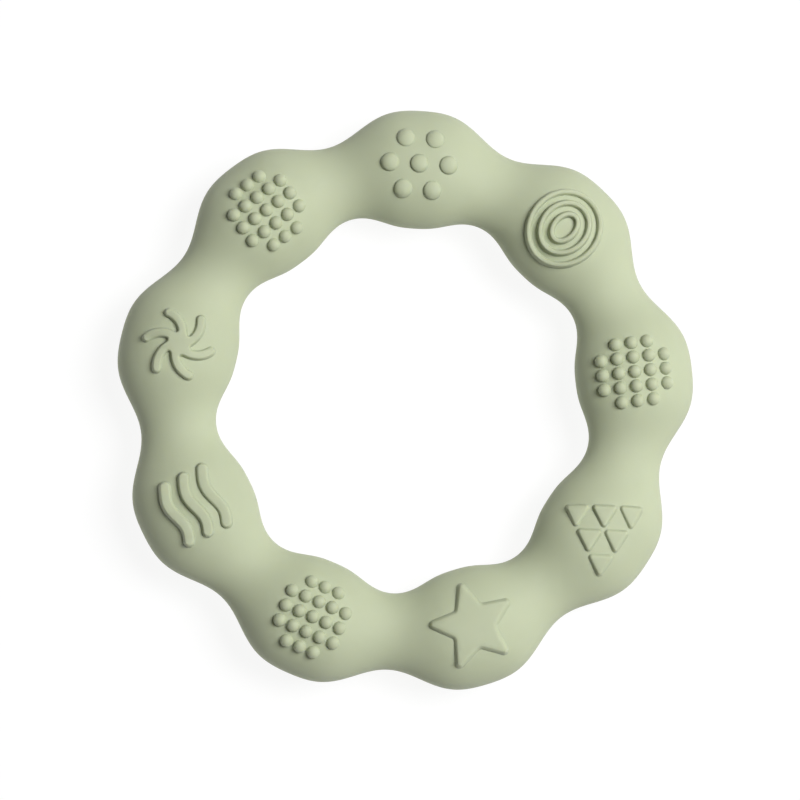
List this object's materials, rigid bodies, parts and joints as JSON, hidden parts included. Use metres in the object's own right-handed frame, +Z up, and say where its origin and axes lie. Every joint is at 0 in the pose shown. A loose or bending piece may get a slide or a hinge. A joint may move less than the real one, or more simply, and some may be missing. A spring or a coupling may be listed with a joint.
{
  "type": "teething ring",
  "caption": "Soft silicone teething ring of rounded beads and slim necks round an open hole, with raised chewing patterns front and back.",
  "frame": {"origin": "centre of the ring on its mid-plane, in the middle of the hole", "axes": "+Z up along the ring's axis, out of the front; +Y towards the bead with seven buttons; +X to its right, seen from the front"},
  "size_m": [0.0992, 0.0982, 0.0178],
  "materials": {
    "silicone": "matte moulded silicone, sage green"
  },
  "bodies": {
    "root": {"ring_body": "silicone", "front_seven_dots": "silicone", "front_ovals": "silicone", "front_fine_dots_1": "silicone", "front_triangles": "silicone", "front_star": "silicone", "front_fine_dots_2": "silicone", "front_waves": "silicone", "front_pinwheel": "silicone", "front_fine_dots_3": "silicone", "back_seven_dots": "silicone", "back_ovals": "silicone", "back_fine_dots_1": "silicone", "back_triangles": "silicone", "back_star": "silicone", "back_fine_dots_2": "silicone", "back_waves": "silicone", "back_pinwheel": "silicone", "back_fine_dots_3": "silicone"}
  },
  "joints": []
}
